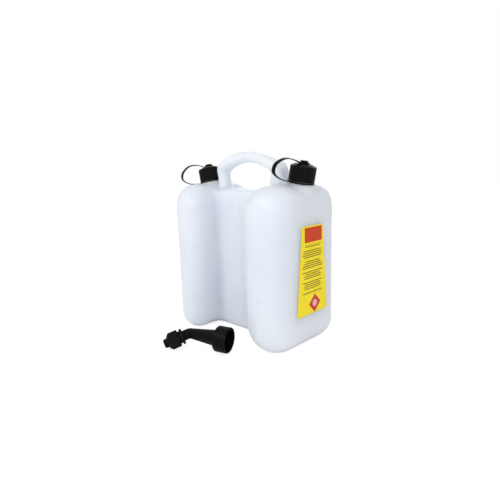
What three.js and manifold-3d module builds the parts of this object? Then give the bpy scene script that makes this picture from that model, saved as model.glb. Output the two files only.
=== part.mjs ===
// Combination fuel can: two tanks joined by a web, an arched grip, two tethered screw caps,
// a label, and the pouring spout that lies on the floor beside the can.
// Millimetres, +Z up. X runs from the small tank to the large one and the label is on the +X end.
// The origin is on the floor, under the middle of the can.
import * as THREE from "three";
import { mergeVertices } from "three/addons/utils/BufferGeometryUtils.js";
import Module from "manifold-3d";

const wasm = await Module();
wasm.setup();

// Tanks
const canDepth = 180;
const tankHeight = 285;
const wall = 2;
const webLength = 110;
const smallTank = { width: 67, planRadius: 32, topRadius: 28, bottomRadius: 30 };
const largeTank = { width: 97, planRadius: 46, topRadius: 34, bottomRadius: 36 };
const planFlat = 1.5;
const canLength = smallTank.width + webLength + largeTank.width;
smallTank.centreX = -canLength / 2 + smallTank.width / 2;
largeTank.centreX = canLength / 2 - largeTank.width / 2;
const arcSteps = 6;
const planSteps = 8;
const leastRadius = 0.5;
const leastLevelGap = 0.5;

// Web between the tanks, with the moulded seam over its divider
const webThickness = 55;
const webDrop = 10;
const webHeight = tankHeight - webDrop;
const webTopRadius = 14;
const webBottomRadius = 20;
const webFillet = 12;
const filletSteps = 4;
const webOverlap = 6;
const leastWebLevelGap = 0.3;
const seamFromSmallTank = 65.5;
const seamX = smallTank.centreX + smallTank.width / 2 + seamFromSmallTank;
const dividerThickness = 3.2;
const seamWidth = 2.4;
const seamFlankHeight = 0.6;
const seamTopHeight = 1.5;

// Grip: an arch that stands on both tanks, with its middle over the seam
const gripHeight = 57.5;
const gripTop = tankHeight + gripHeight;
const gripDepth = 20;
const gripRadius = 125;
const gripStance = 32;
const gripLegSpacing = webLength + gripStance;
const gripLegDepth = 22;
const gripCornerRadius = 16;
const gripWidthLeg = 27;
const gripWidthCorner = 36;
const gripWidthTop = 30;
const gripFootFlare = 5;
const gripFootHeight = 12;
const gripRoot = 20;
const gripSectionSteps = 12;
const gripSquareness = 3;
const gripCornerSteps = 4;
const gripArchSteps = 6;

// Necks: each leans outward on its tank's shoulder
const neckFromEnd = 23;
const neckX = canLength / 2 - neckFromEnd;
const neckSeatRise = 1;
const neckSeatZ = tankHeight + neckSeatRise;
const neckTilt = THREE.MathUtils.degToRad(12);
const neckHeight = 23.6;
const neckRadius = 18.4;
const boreRadius = 15.8;
const seatRadius = 23.5;
const bossRadius = 25.5;
const bossDepth = 12;
const neckRoot = 18;
const boreOverrun = 2;
const roundSteps = 36;

// Caps and their gaskets
const clearance = 0.3;
const capRadius = 22;
const capRibs = 24;
const capRibDepth = 0.7;
const capSkirtGap = 0.9;
const capInsideRadius = neckRadius + 1;
const capTopThickness = 3;
const capChamfer = 4;
const capChamferHeight = 2;
const gasketThickness = 1.8;
const gasketHoleRadius = 12;
const knobStemRadius = 4.2;
const knobHeadRadius = 6.5;
const knobHeadHeight = 2.6;
const knobHeadChamfer = 1;

// Straps: a ring round the neck, a band, and a ring round the cap's knob, moulded in one
const strapThickness = 1.7;
const strapWidth = 9;
const strapRingRadius = 23;
const strapEyeRadius = 9.2;
const strapEyeThickness = 2.4;
const strapReach = 64;
const strapLoopDrop = 21;
const strapJoin = 1;
const strapCrownDip = 1;
const strapCrownShare = 0.4;
const strapTurnUpper = { in: 4, rise: 9 };
const strapTurnLower = { in: 2, rise: -3 };
const strapReturn = { out: 6, rise: 6 };
const strapFoot = { out: 8, rise: 1.4 };
const strapSteps = 22;
const smallStrap = { heading: THREE.MathUtils.degToRad(208), rise: 9 };
const largeStrap = { heading: THREE.MathUtils.degToRad(260), rise: 6 };

// Label on the large tank's end
const labelTopWidth = 58;
const labelBottomWidth = 84;
const labelBottomZ = 64;
const labelDrop = 69;
const labelTopZ = tankHeight - labelDrop;
const labelCorner = 5;
const labelThickness = 0.4;

// Spout: a socket that screws on a neck, a tapered tube, a bend, and a twist ring with its tip
const spoutFromCan = 48.5;
const spoutBend = new THREE.Vector3(-31, -canDepth / 2 - spoutFromCan, 25.7);
const spoutHeading = THREE.MathUtils.degToRad(21);
const spoutSlope = THREE.MathUtils.degToRad(2.2);
const spoutRoll = THREE.MathUtils.degToRad(28.7);
const spoutBendAngle = THREE.MathUtils.degToRad(43.4);
const socketRadius = 22.5;
const socketBore = 19.4;
const socketDepth = 20;
const socketLength = 23;
const socketChamfer = 5;
const socketEdge = { in: 1, down: 2 };
const spoutLength = 79;
const tubeWideRadius = 14;
const tubeNarrowRadius = 9.3;
const tubeWall = 1.8;
const flangeStart = 12;
const flangeThickness = 4.5;
const flangeRadius = 14.2;
const barrelRadius = 11.2;
const barrelEnd = 33;
const ringStart = 20.2;
const ringLength = 16;
const ringRadius = 15.4;
const ringNoseLength = 5;
const ringNoseRadius = 11.2;
const ringGrooves = 16;
const ringGrooveDepth = 0.9;
const ringShoulder = 1.35;
const tipFlange = 2;
const tipRadius = 9;
const tipEndRadius = 7.4;
const tipBore = 5.6;
const tipEnd = 48;
const socketGasketThickness = 2;
const socketGasketInset = 1;

// Turns a three.js geometry into a solid for joining and cutting.
function solid(geometry) {
  const bare = geometry.clone();
  for (const name of Object.keys(bare.attributes)) {
    if (name !== "position") bare.deleteAttribute(name);
  }
  const merged = mergeVertices(bare, 1e-4);
  const made = new wasm.Mesh({
    numProp: 3,
    vertProperties: merged.attributes.position.array,
    triVerts: new Uint32Array(merged.index.array),
  });
  return new wasm.Manifold(made);
}

// Turns a solid back into a three.js geometry.
function geometryOf(body) {
  const made = body.getMesh();
  const geometry = new THREE.BufferGeometry();
  geometry.setAttribute("position", new THREE.BufferAttribute(new Float32Array(made.vertProperties), 3));
  geometry.setIndex(new THREE.BufferAttribute(new Uint32Array(made.triVerts), 1));
  return geometry;
}

// Skins a stack of outlines: rings is a list of { outline: [Vector2], place: (Vector2) => Vector3 }.
function loft(rings) {
  const count = rings[0].outline.length;
  const positions = [];
  for (const ring of rings) {
    for (const point of ring.outline) {
      const placed = ring.place(point);
      positions.push(placed.x, placed.y, placed.z);
    }
  }
  const indices = [];
  for (let level = 0; level + 1 < rings.length; level += 1) {
    for (let i = 0; i < count; i += 1) {
      const a = level * count + i;
      const b = level * count + ((i + 1) % count);
      indices.push(a, b, b + count);
      indices.push(a, b + count, a + count);
    }
  }
  const lastStart = (rings.length - 1) * count;
  for (const [a, b, c] of THREE.ShapeUtils.triangulateShape(rings[0].outline, [])) {
    indices.push(a, c, b);
  }
  for (const [a, b, c] of THREE.ShapeUtils.triangulateShape(rings.at(-1).outline, [])) {
    indices.push(lastStart + a, lastStart + b, lastStart + c);
  }
  const geometry = new THREE.BufferGeometry();
  geometry.setAttribute("position", new THREE.Float32BufferAttribute(positions, 3));
  geometry.setIndex(indices);
  return geometry;
}

// Adds the points of an arc to an outline.
function addArc(outline, centreX, centreY, radius, from, to, steps) {
  for (let i = 0; i <= steps; i += 1) {
    const angle = from + ((to - from) * i) / steps;
    outline.push(new THREE.Vector2(centreX + radius * Math.cos(angle), centreY + radius * Math.sin(angle)));
  }
}

// How far a rounded wall stands in from its full size at a height.
function insetAt(z, bottom, top, bottomRadius, topRadius) {
  if (z < bottom + bottomRadius) {
    const rise = bottom + bottomRadius - z;
    return bottomRadius - Math.sqrt(Math.max(bottomRadius ** 2 - rise ** 2, 0));
  }
  if (z > top - topRadius) {
    const rise = z - (top - topRadius);
    return topRadius - Math.sqrt(Math.max(topRadius ** 2 - rise ** 2, 0));
  }
  return 0;
}

// Heights of the rings: the steps of the bottom arcs and top arcs, without repeats.
function levelsBetween(bottom, top, bottomRadii, topRadii) {
  const levels = [bottom, top];
  for (let i = 1; i <= arcSteps; i += 1) {
    const share = 1 - Math.cos((Math.PI / 2) * (i / arcSteps));
    levels.push(bottom + Math.max(...bottomRadii) * share);
    levels.push(top - Math.max(...topRadii) * share);
  }
  for (const radius of bottomRadii) levels.push(bottom + radius);
  for (const radius of topRadii) levels.push(top - radius);
  levels.sort((a, b) => a - b);
  return levels.filter((z, i) => i === 0 || z - levels[i - 1] > leastLevelGap);
}

// One rounded tank, or with skin = wall the hollow inside it.
function tankSolid(tank, skin) {
  const bottom = skin;
  const top = tankHeight - skin;
  const bottomRadius = tank.bottomRadius - skin;
  const topRadius = tank.topRadius - skin;
  const steps = skin > 0 ? planSteps / 2 : planSteps;
  const levels = levelsBetween(
    bottom,
    top,
    [smallTank.bottomRadius - skin, largeTank.bottomRadius - skin],
    [smallTank.topRadius - skin, largeTank.topRadius - skin],
  );
  const rings = levels.map((z) => {
    const inset = insetAt(z, bottom, top, bottomRadius, topRadius);
    const planRadius = Math.min(tank.planRadius, tank.width / 2 - planFlat, canDepth / 2 - planFlat);
    const radius = Math.max(planRadius - skin - inset, leastRadius);
    const cornerX = tank.width / 2 - skin - inset - radius;
    const cornerY = canDepth / 2 - skin - inset - radius;
    const outline = [];
    addArc(outline, tank.centreX + cornerX, cornerY, radius, 0, Math.PI / 2, steps);
    addArc(outline, tank.centreX - cornerX, cornerY, radius, Math.PI / 2, Math.PI, steps);
    addArc(outline, tank.centreX - cornerX, -cornerY, radius, Math.PI, Math.PI * 1.5, steps);
    addArc(outline, tank.centreX + cornerX, -cornerY, radius, Math.PI * 1.5, Math.PI * 2, steps);
    return { outline, place: (p) => new THREE.Vector3(p.x, p.y, z) };
  });
  return solid(loft(rings));
}

// Where a tank's wall that faces the web stands at a height.
function flankX(tank, side, z) {
  const inset = insetAt(z, 0, tankHeight, tank.bottomRadius, tank.topRadius);
  return tank.centreX + side * (tank.width / 2 - inset);
}

// The web, with hollow fillets that run into both tanks.
function webSolid() {
  const tankLevels = levelsBetween(
    0,
    tankHeight,
    [smallTank.bottomRadius, largeTank.bottomRadius],
    [smallTank.topRadius, largeTank.topRadius],
  );
  const webLevels = levelsBetween(0, webHeight, [webBottomRadius], [webTopRadius]);
  const levels = tankLevels
    .filter((z) => z < webHeight - leastLevelGap)
    .concat(webLevels)
    .sort((a, b) => a - b)
    .filter((z, i, all) => i === 0 || z - all[i - 1] > leastWebLevelGap);
  const rings = levels.map((z) => {
    const half = webThickness / 2 - insetAt(z, 0, webHeight, webBottomRadius, webTopRadius);
    const left = flankX(smallTank, 1, z);
    const right = flankX(largeTank, -1, z);
    const outer = half + webFillet;
    const outline = [new THREE.Vector2(left - webOverlap, -outer)];
    addArc(outline, left + webFillet, -outer, webFillet, Math.PI, Math.PI / 2, filletSteps);
    addArc(outline, right - webFillet, -outer, webFillet, Math.PI / 2, 0, filletSteps);
    outline.push(new THREE.Vector2(right + webOverlap, -outer));
    outline.push(new THREE.Vector2(right + webOverlap, outer));
    addArc(outline, right - webFillet, outer, webFillet, 0, -Math.PI / 2, filletSteps);
    addArc(outline, left + webFillet, outer, webFillet, -Math.PI / 2, -Math.PI, filletSteps);
    outline.push(new THREE.Vector2(left - webOverlap, outer));
    return { outline, place: (p) => new THREE.Vector3(p.x, p.y, z) };
  });
  return solid(loft(rings));
}

// The hollow of the web on one side of the divider.
function webHollow(tank, side) {
  const dividerFace = seamX - side * (dividerThickness / 2);
  const levels = levelsBetween(wall, webHeight - wall, [webBottomRadius - wall], [webTopRadius - wall]);
  const rings = levels.map((z) => {
    const inset = insetAt(z, wall, webHeight - wall, webBottomRadius - wall, webTopRadius - wall);
    const half = webThickness / 2 - wall - inset;
    const reach = insetAt(z, wall, tankHeight - wall, tank.bottomRadius - wall, tank.topRadius - wall);
    const inner = tank.centreX + side * (tank.width / 2 - wall - reach - webOverlap);
    const low = Math.min(inner, dividerFace);
    const high = Math.max(inner, dividerFace);
    const outline = [
      new THREE.Vector2(low, -half),
      new THREE.Vector2(high, -half),
      new THREE.Vector2(high, half),
      new THREE.Vector2(low, half),
    ];
    return { outline, place: (p) => new THREE.Vector3(p.x, p.y, z) };
  });
  return solid(loft(rings));
}

// The moulded seam that stands proud of the web's faces and top.
function seamRidge() {
  const half = webThickness / 2 + seamFlankHeight;
  const top = webHeight + seamTopHeight;
  const outline = new THREE.Shape();
  outline.absarc(half - webBottomRadius, webBottomRadius, webBottomRadius, -Math.PI / 2, 0, false);
  outline.absarc(half - webTopRadius, top - webTopRadius, webTopRadius, 0, Math.PI / 2, false);
  outline.absarc(webTopRadius - half, top - webTopRadius, webTopRadius, Math.PI / 2, Math.PI, false);
  outline.absarc(webBottomRadius - half, webBottomRadius, webBottomRadius, Math.PI, Math.PI * 1.5, false);
  const plate = new THREE.ExtrudeGeometry(outline, {
    depth: seamWidth,
    bevelEnabled: false,
    curveSegments: arcSteps,
  });
  plate.rotateX(Math.PI / 2);
  plate.rotateZ(Math.PI / 2);
  plate.translate(seamX - seamWidth / 2, 0, 0);
  return solid(plate);
}

// A point of the grip's middle line, with the direction out of the arch and the section's size.
function gripStations() {
  const arcZ = gripTop - gripDepth / 2 - gripRadius;
  const legX = gripLegSpacing / 2;
  const cornerX = legX - gripCornerRadius;
  const cornerZ = arcZ + Math.sqrt((gripRadius - gripCornerRadius) ** 2 - cornerX ** 2);
  const cornerAngle = Math.atan2(cornerZ - arcZ, cornerX);
  const stations = [];
  const addStation = (x, z, angle, depth, width) => stations.push({ x, z, angle, depth, width });
  addStation(legX, tankHeight - gripRoot, 0, gripLegDepth + gripFootFlare, gripWidthLeg + gripFootFlare);
  addStation(legX, tankHeight, 0, gripLegDepth + gripFootFlare, gripWidthLeg + gripFootFlare);
  addStation(legX, tankHeight + gripFootHeight / 3, 0, gripLegDepth + gripFootFlare / 3, gripWidthLeg);
  addStation(legX, tankHeight + gripFootHeight, 0, gripLegDepth, gripWidthLeg);
  for (let i = 0; i <= gripCornerSteps; i += 1) {
    const share = i / gripCornerSteps;
    const angle = cornerAngle * share;
    const width = gripWidthLeg + (gripWidthCorner - gripWidthLeg) * share;
    const depth = gripLegDepth + (gripDepth - gripLegDepth) * share;
    const x = cornerX + gripCornerRadius * Math.cos(angle);
    const z = cornerZ + gripCornerRadius * Math.sin(angle);
    addStation(x, z, angle, depth, width);
  }
  for (let i = 1; i <= gripArchSteps; i += 1) {
    const share = i / gripArchSteps;
    const angle = cornerAngle + (Math.PI / 2 - cornerAngle) * share;
    const width = gripWidthCorner + (gripWidthTop - gripWidthCorner) * share;
    addStation(gripRadius * Math.cos(angle), arcZ + gripRadius * Math.sin(angle), angle, gripDepth, width);
  }
  const mirrored = stations
    .slice(0, -1)
    .reverse()
    .map((s) => ({ ...s, x: -s.x, angle: Math.PI - s.angle }));
  return stations.concat(mirrored);
}

function gripSolid() {
  const rings = gripStations().map((station) => {
    const outline = [];
    for (let i = 0; i < gripSectionSteps; i += 1) {
      const angle = (2 * Math.PI * i) / gripSectionSteps;
      const roundness = 2 / gripSquareness;
      const across = Math.sign(Math.cos(angle)) * Math.abs(Math.cos(angle)) ** roundness;
      const along = Math.sign(Math.sin(angle)) * Math.abs(Math.sin(angle)) ** roundness;
      outline.push(new THREE.Vector2((across * station.depth) / 2, (along * station.width) / 2));
    }
    const outX = Math.cos(station.angle);
    const outZ = Math.sin(station.angle);
    const place = (p) => new THREE.Vector3(seamX + station.x + p.x * outX, p.y, station.z + p.x * outZ);
    return { outline, place };
  });
  return solid(loft(rings));
}

// A solid of revolution about +Z from [radius, height] pairs that start and end on the axis.
function turned(profile, steps = roundSteps) {
  const points = profile.map(([radius, height]) => new THREE.Vector2(radius, height));
  return new THREE.LatheGeometry(points, steps).rotateX(Math.PI / 2);
}

// A ring of revolution about +Z, with a square section.
function ringGeometry(inner, outer, low, high, steps = roundSteps) {
  const profile = [
    [inner, low],
    [outer, low],
    [outer, high],
    [inner, high],
    [inner, low],
  ];
  return turned(profile, steps);
}

// The matrix of a neck's own frame: its seat's middle, with +Z along the neck.
function neckMatrix(side) {
  const matrix = new THREE.Matrix4().makeRotationY(side * neckTilt);
  matrix.setPosition(side * neckX, 0, neckSeatZ);
  return matrix;
}

function neckSolid(side) {
  const profile = [
    [0, -neckRoot],
    [bossRadius, -neckRoot],
    [bossRadius, -bossDepth],
    [seatRadius, 0],
    [neckRadius, 0],
    [neckRadius, neckHeight],
    [0, neckHeight],
  ];
  return solid(turned(profile).applyMatrix4(neckMatrix(side)));
}

function boreSolid(side) {
  const profile = [
    [0, -neckRoot - boreOverrun],
    [boreRadius, -neckRoot - boreOverrun],
    [boreRadius, neckHeight + boreOverrun],
    [0, neckHeight + boreOverrun],
  ];
  return solid(turned(profile).applyMatrix4(neckMatrix(side)));
}

function canBody() {
  const shell = tankSolid(smallTank, 0)
    .add(tankSolid(largeTank, 0))
    .add(webSolid())
    .add(seamRidge())
    .add(gripSolid())
    .add(neckSolid(-1))
    .add(neckSolid(1));
  const hollow = tankSolid(smallTank, wall)
    .add(webHollow(smallTank, 1))
    .add(tankSolid(largeTank, wall))
    .add(webHollow(largeTank, -1))
    .add(boreSolid(-1))
    .add(boreSolid(1));
  return geometryOf(shell.subtract(hollow));
}

const skirtBottom = strapThickness + clearance + capSkirtGap;
const gasketBottom = neckHeight + clearance;
const capInsideTop = gasketBottom + gasketThickness + clearance;
const capTop = capInsideTop + capTopThickness;
const eyeBottom = capTop + capChamferHeight + clearance;
const knobHeadBottom = eyeBottom + strapEyeThickness + clearance;

// A round outline with ribs, for a cap's skirt or a ring that is turned by hand.
function ribbedShape(radius, ribs, ribDepth, holeRadius) {
  const shape = new THREE.Shape();
  for (let i = 0; i < ribs * 4; i += 1) {
    const angle = (Math.PI * 2 * i) / (ribs * 4);
    const here = i % 4 < 2 ? radius : radius - ribDepth;
    const point = new THREE.Vector2(here * Math.cos(angle), here * Math.sin(angle));
    if (i === 0) shape.moveTo(point.x, point.y);
    else shape.lineTo(point.x, point.y);
  }
  shape.closePath();
  const hole = new THREE.Path();
  hole.absarc(0, 0, holeRadius, 0, Math.PI * 2, true);
  shape.holes.push(hole);
  return shape;
}

function capGeometry() {
  const skirt = new THREE.ExtrudeGeometry(ribbedShape(capRadius, capRibs, capRibDepth, capInsideRadius), {
    depth: capInsideTop - skirtBottom + clearance,
    bevelEnabled: false,
    curveSegments: roundSteps / 2,
  }).translate(0, 0, skirtBottom);
  const crown = turned([
    [0, capInsideTop],
    [capRadius, capInsideTop],
    [capRadius, capTop],
    [capRadius - capChamfer, capTop + capChamferHeight],
    [knobStemRadius, capTop + capChamferHeight],
    [knobStemRadius, knobHeadBottom],
    [knobHeadRadius, knobHeadBottom],
    [knobHeadRadius, knobHeadBottom + knobHeadHeight - knobHeadChamfer],
    [knobHeadRadius - knobHeadChamfer, knobHeadBottom + knobHeadHeight],
    [0, knobHeadBottom + knobHeadHeight],
  ]);
  return geometryOf(solid(skirt).add(solid(crown)));
}

function gasketGeometry() {
  return ringGeometry(gasketHoleRadius, neckRadius, gasketBottom, gasketBottom + gasketThickness);
}

// The strap's middle line in the plane of the neck's axis: out from the eye, round, and back to the ring.
function strapLine(rise) {
  const eyeZ = eyeBottom + strapEyeThickness / 2;
  const ringZ = clearance + strapThickness / 2;
  const loopX = strapReach - strapLoopDrop;
  const topZ = eyeZ + rise;
  const middleZ = (topZ + ringZ) / 2;
  return new THREE.CatmullRomCurve3([
    new THREE.Vector3(strapEyeRadius - strapJoin, 0, eyeZ),
    new THREE.Vector3(strapReach * strapCrownShare, 0, topZ - strapCrownDip),
    new THREE.Vector3(loopX, 0, topZ),
    new THREE.Vector3(strapReach - strapTurnUpper.in, 0, middleZ + strapTurnUpper.rise),
    new THREE.Vector3(strapReach - strapTurnLower.in, 0, middleZ + strapTurnLower.rise),
    new THREE.Vector3(loopX + strapReturn.out, 0, ringZ + strapReturn.rise),
    new THREE.Vector3(strapRingRadius + strapFoot.out, 0, ringZ + strapFoot.rise),
    new THREE.Vector3(strapRingRadius - strapJoin, 0, ringZ + clearance),
  ]);
}

function strapGeometry({ heading, rise }) {
  const section = new THREE.Shape();
  section.moveTo(-strapThickness / 2, -strapWidth / 2);
  section.lineTo(strapThickness / 2, -strapWidth / 2);
  section.lineTo(strapThickness / 2, strapWidth / 2);
  section.lineTo(-strapThickness / 2, strapWidth / 2);
  section.closePath();
  const line = strapLine(rise);
  const rings = [];
  for (let i = 0; i <= strapSteps; i += 1) {
    const at = line.getPointAt(i / strapSteps);
    const along = line.getTangentAt(i / strapSteps);
    const outline = section.getPoints().slice(0, 4);
    const place = (p) => new THREE.Vector3(at.x + along.z * p.x, p.y, at.z - along.x * p.x);
    rings.push({ outline, place });
  }
  const band = solid(loft(rings));
  const neckRing = ringGeometry(neckRadius + clearance, strapRingRadius, clearance, clearance + strapThickness);
  const eye = ringGeometry(
    knobStemRadius + clearance,
    strapEyeRadius,
    eyeBottom,
    eyeBottom + strapEyeThickness,
  );
  return geometryOf(band.add(solid(neckRing)).add(solid(eye))).rotateZ(heading);
}

function labelGeometry() {
  const outline = new THREE.Shape();
  const corners = [
    [-labelBottomWidth / 2, labelBottomZ],
    [labelBottomWidth / 2, labelBottomZ],
    [labelTopWidth / 2, labelTopZ],
    [-labelTopWidth / 2, labelTopZ],
  ].map(([y, z]) => new THREE.Vector2(y, z));
  corners.forEach((corner, i) => {
    const before = corners[(i + 3) % 4].clone().sub(corner).setLength(labelCorner).add(corner);
    const after = corners[(i + 1) % 4].clone().sub(corner).setLength(labelCorner).add(corner);
    if (i === 0) outline.moveTo(before.x, before.y);
    else outline.lineTo(before.x, before.y);
    outline.quadraticCurveTo(corner.x, corner.y, after.x, after.y);
  });
  outline.closePath();
  const plate = new THREE.ExtrudeGeometry(outline, {
    depth: labelThickness,
    bevelEnabled: false,
    curveSegments: 5,
  });
  plate.rotateX(Math.PI / 2);
  plate.rotateZ(Math.PI / 2);
  plate.translate(canLength / 2, 0, 0);
  return plate;
}

// The spout's tube in its own frame: the bend at the origin and the socket along +Z.
function spoutTubeGeometry(tipTurn) {
  const socketStart = spoutLength - socketLength;
  const outside = turned([
    [0, 0],
    [tubeNarrowRadius, 0],
    [tubeWideRadius, socketStart - socketChamfer],
    [socketRadius - socketEdge.in, socketStart],
    [socketRadius, socketStart + socketEdge.down],
    [socketRadius, spoutLength],
    [0, spoutLength],
  ]);
  const inside = turned([
    [0, 0],
    [tubeNarrowRadius - tubeWall, 0],
    [tubeWideRadius - tubeWall, socketStart - socketChamfer],
    [tubeWideRadius - tubeWall, spoutLength - socketDepth],
    [socketBore, spoutLength - socketDepth],
    [socketBore, spoutLength + 1],
    [0, spoutLength + 1],
  ]);
  const elbow = new THREE.SphereGeometry(tubeNarrowRadius, 24, 12);
  const elbowBore = new THREE.SphereGeometry(tubeNarrowRadius - tubeWall, 24, 12);
  const barrel = turned([
    [0, 0],
    [tubeNarrowRadius, 0],
    [tubeNarrowRadius, flangeStart],
    [flangeRadius, flangeStart],
    [flangeRadius, flangeStart + flangeThickness],
    [barrelRadius, flangeStart + flangeThickness],
    [barrelRadius, barrelEnd],
    [0, barrelEnd],
  ]).applyMatrix4(tipTurn);
  const barrelBore = turned([
    [0, 0],
    [tubeNarrowRadius - tubeWall, 0],
    [tubeNarrowRadius - tubeWall, barrelEnd + 1],
    [0, barrelEnd + 1],
  ]).applyMatrix4(tipTurn);
  const shell = solid(outside).add(solid(elbow)).add(solid(barrel));
  const bore = solid(inside).add(solid(elbowBore)).add(solid(barrelBore));
  return geometryOf(shell.subtract(bore));
}

const tipSeat = barrelEnd + clearance;
const noseStart = tipSeat + tipFlange + clearance;

// The knurled ring: it turns on the barrel and its nose holds the tip.
function spoutRingGeometry() {
  const ribbed = ribbedShape(ringRadius, ringGrooves, ringGrooveDepth, barrelRadius + clearance);
  const sleeve = new THREE.ExtrudeGeometry(ribbed, {
    depth: ringLength,
    bevelEnabled: false,
    curveSegments: roundSteps / 2,
  }).translate(0, 0, ringStart);
  const nose = turned([
    [tipRadius + clearance, noseStart],
    [ringRadius - ringShoulder, noseStart],
    [ringNoseRadius, noseStart + ringNoseLength],
    [tipRadius + clearance, noseStart + ringNoseLength],
    [tipRadius + clearance, noseStart],
  ]);
  return geometryOf(solid(sleeve).add(solid(nose)));
}

function spoutTipGeometry() {
  return turned([
    [tipBore, tipSeat],
    [barrelRadius, tipSeat],
    [barrelRadius, tipSeat + tipFlange],
    [tipRadius, tipSeat + tipFlange],
    [tipRadius, noseStart + ringNoseLength],
    [tipEndRadius, tipEnd],
    [tipBore, tipEnd],
    [tipBore, tipSeat],
  ]);
}

function spoutGasketGeometry() {
  const seat = spoutLength - socketDepth + clearance;
  const hole = tubeWideRadius - tubeWall + socketGasketInset;
  return ringGeometry(hole, socketBore - clearance, seat, seat + socketGasketThickness);
}

function plastic(color, roughness) {
  return new THREE.MeshStandardMaterial({ color, roughness, metalness: 0 });
}

function named(name, geometry, material) {
  const mesh = new THREE.Mesh(geometry, material);
  mesh.name = name;
  return mesh;
}

const naturalPlastic = 0xdfe3ea;
const blackPlastic = 0x1b1c20;
const blackRubber = 0x101012;
const labelYellow = 0xf4da24;

const fuelCan = new THREE.Group();
fuelCan.add(named("can_body", canBody(), plastic(naturalPlastic, 0.45)));
fuelCan.add(named("label", labelGeometry(), plastic(labelYellow, 0.4)));

// The cap, gasket and strap of each neck
const necks = [
  { prefix: "small_tank", side: -1, strap: smallStrap },
  { prefix: "large_tank", side: 1, strap: largeStrap },
];
for (const { prefix, side, strap } of necks) {
  const neck = new THREE.Group();
  neck.applyMatrix4(neckMatrix(side));
  neck.add(named(`${prefix}_cap`, capGeometry(), plastic(blackPlastic, 0.5)));
  neck.add(named(`${prefix}_gasket`, gasketGeometry(), plastic(blackRubber, 0.8)));
  neck.add(named(`${prefix}_strap`, strapGeometry(strap), plastic(blackPlastic, 0.55)));
  fuelCan.add(neck);
}

// The spout lies on the floor on its socket's rim and its ring.
const spout = new THREE.Group();
spout.position.copy(spoutBend);
spout.rotation.set(spoutRoll, spoutSlope, spoutHeading, "ZYX");
const mainLine = new THREE.Group();
mainLine.rotation.y = Math.PI / 2;
const tipLine = new THREE.Group();
tipLine.rotation.set(0, Math.PI / 2, Math.PI + spoutBendAngle, "ZYX");
tipLine.updateMatrix();
mainLine.updateMatrix();
const tipTurn = mainLine.matrix.clone().invert().multiply(tipLine.matrix);
mainLine.add(named("spout_tube", spoutTubeGeometry(tipTurn), plastic(blackPlastic, 0.5)));
mainLine.add(named("spout_gasket", spoutGasketGeometry(), plastic(blackRubber, 0.8)));
tipLine.add(named("spout_ring", spoutRingGeometry(), plastic(blackPlastic, 0.5)));
tipLine.add(named("spout_tip", spoutTipGeometry(), plastic(blackPlastic, 0.5)));
spout.add(mainLine, tipLine);
fuelCan.add(spout);

export default fuelCan;
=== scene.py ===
"""Combination fuel can: two joined tanks of natural plastic, screw caps on straps, a label and a spout.

Lengths are in metres and angles in degrees. The can stands on the floor with its small tank at -X.
"""
import math

import bmesh
import bpy
from mathutils import Matrix, Vector


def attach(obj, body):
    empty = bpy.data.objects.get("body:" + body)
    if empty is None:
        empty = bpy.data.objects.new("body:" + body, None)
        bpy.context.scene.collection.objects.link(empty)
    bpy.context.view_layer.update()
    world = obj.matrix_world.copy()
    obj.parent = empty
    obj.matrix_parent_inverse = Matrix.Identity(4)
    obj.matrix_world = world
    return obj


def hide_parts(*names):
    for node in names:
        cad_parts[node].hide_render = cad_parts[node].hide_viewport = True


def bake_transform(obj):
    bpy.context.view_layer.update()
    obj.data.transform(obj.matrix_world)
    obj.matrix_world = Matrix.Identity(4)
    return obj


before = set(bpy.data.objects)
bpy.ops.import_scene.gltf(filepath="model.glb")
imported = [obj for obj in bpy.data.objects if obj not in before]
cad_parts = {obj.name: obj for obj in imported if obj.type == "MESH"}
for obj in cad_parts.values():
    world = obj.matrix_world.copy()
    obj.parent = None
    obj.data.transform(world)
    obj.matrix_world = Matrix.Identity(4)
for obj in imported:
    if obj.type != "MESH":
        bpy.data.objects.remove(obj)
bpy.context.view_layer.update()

# Fineness of the meshes. A pole radius, below, keeps a turned profile just off its axis
WELD_DISTANCE = 1e-6
NO_LENGTH = 1e-9
EDGE_SHARE = 0.45
EDGE_STEPS = 3
TURN_SEGMENTS = 72
RIB_SEGMENTS = 12
RIB_SHARPNESS = 3
SHARP_ANGLE = 40
NECK_SHARP_ANGLE = 35

# Camera, fitted to the photograph
CAMERA_AZIMUTH = 44.69
CAMERA_ELEVATION = 11.0
CAMERA_ROLL = -1.74
CAMERA_DISTANCE = 0.8076
CAMERA_TARGET = Vector((-0.00704, 0, 0.1425))
CAMERA_SLIDE_RIGHT = -0.0026
CAMERA_SLIDE_UP = 0.01498
LENS = 30.17
SENSOR_WIDTH = 36

# Can body. A tank's plan, top and bottom values are corner radii, and inner is its side by the web
DEPTH = 0.180
HEIGHT = 0.285
SMALL_TANK = {
    "centre": -0.1035,
    "width": 0.067,
    "plan": 0.032,
    "top": 0.028,
    "inner_top": 0.038,
    "side_top": 0.044,
    "bottom": 0.030,
    "inner_bottom": 0.032,
    "inner": 1,
}
LARGE_TANK = {
    "centre": 0.0885,
    "width": 0.097,
    "plan": 0.046,
    "top": 0.034,
    "inner_top": 0.050,
    "side_top": 0.044,
    "bottom": 0.036,
    "inner_bottom": 0.048,
    "inner": -1,
}
WEB_THICKNESS = 0.055
WEB_HEIGHT = 0.275
WEB_TOP_RADIUS = 0.014
WEB_BOTTOM_RADIUS = 0.020
WEB_FILLET = 0.012
WEB_OVERLAP = 0.006
SEAM_X = -0.0045
SKIN_VOXEL = 0.0021
SKIN_SMOOTHING = 10
SHELL_SMOOTHING = 26
SMOOTHING_FACTOR = 0.5
LEAST_PLAN_RADIUS = 0.0005
LEVEL_STEPS = 10
PLAN_STEPS = 12
FILLET_STEPS = 6

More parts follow.
